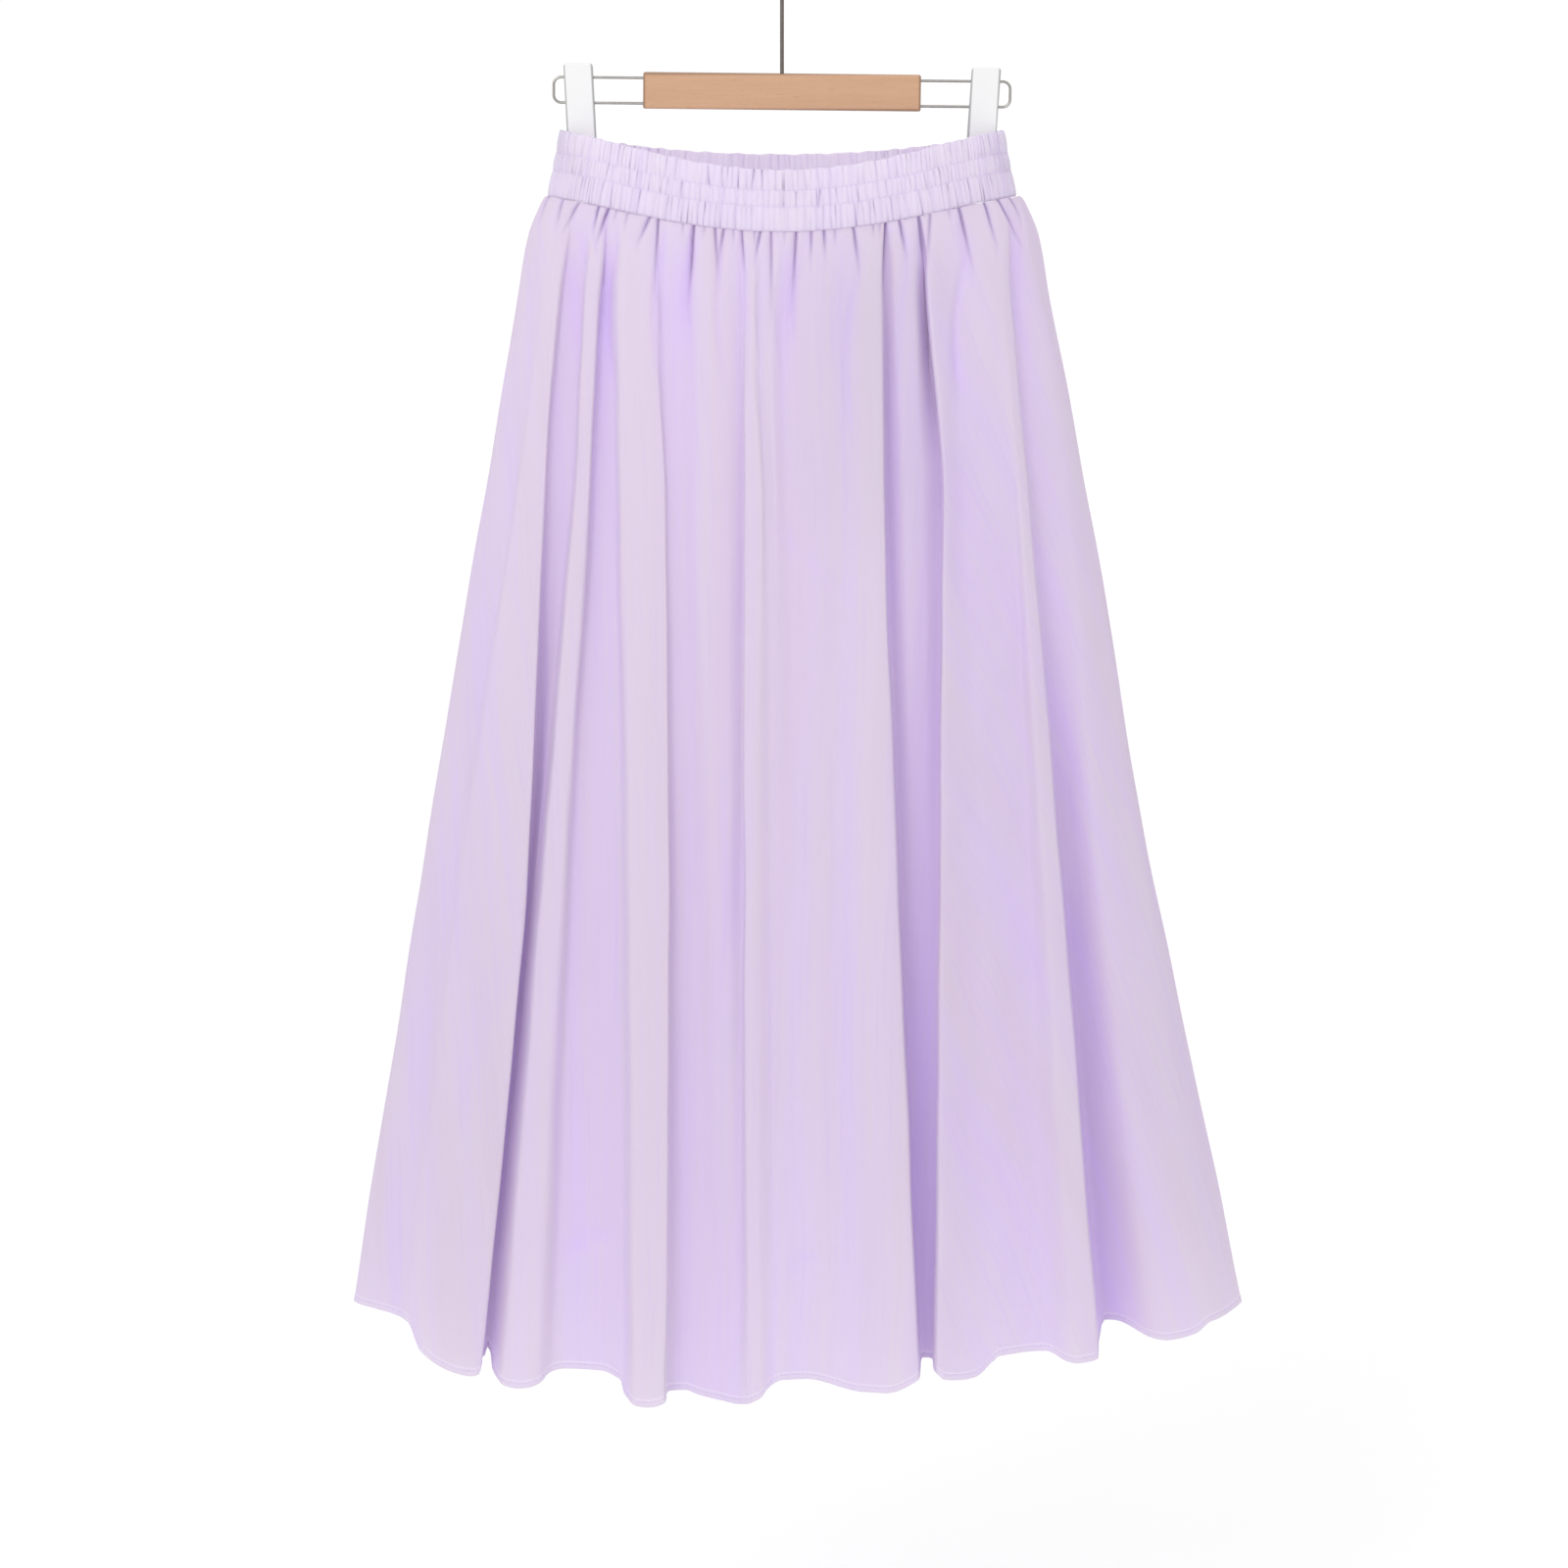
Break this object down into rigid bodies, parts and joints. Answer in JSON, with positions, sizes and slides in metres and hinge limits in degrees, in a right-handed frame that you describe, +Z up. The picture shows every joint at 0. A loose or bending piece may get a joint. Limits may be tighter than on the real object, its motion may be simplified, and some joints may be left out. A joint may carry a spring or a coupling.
{
  "type": "a-line midi skirt on a hanger",
  "caption": "Flared midi skirt gathered into a shirred elastic waistband, hanging from a wooden clip hanger whose arms spread its waist.",
  "frame": {"origin": "inner top of the hanger's hook, where it bears on a rail", "axes": "+X to the viewer's right across the skirt, +Y from its front to its back, +Z up"},
  "size_m": [0.6241, 0.202, 1.0086],
  "materials": {
    "cloth_front": "thin smooth lavender cotton with faint slubs",
    "cloth_back": "thin smooth lavender cotton with faint slubs",
    "cloth_band": "the same cotton, doubled and shirred on elastic",
    "cloth_pocket": "the same cotton, in two layers",
    "dark_steel": "dark plated wire",
    "bright_steel": "plated wire",
    "beech": "fine straight grain under a thin clear coat",
    "white_plastic": "smooth white"
  },
  "bodies": {
    "root": {"front_panel": "cloth_front", "back_panel": "cloth_back", "waistband": "cloth_band", "pocket_bag": "cloth_pocket", "hook": "dark_steel", "bar": "beech", "wire_left": "bright_steel", "wire_right": "bright_steel", "arm_left": "white_plastic", "arm_right": "white_plastic"}
  },
  "joints": []
}
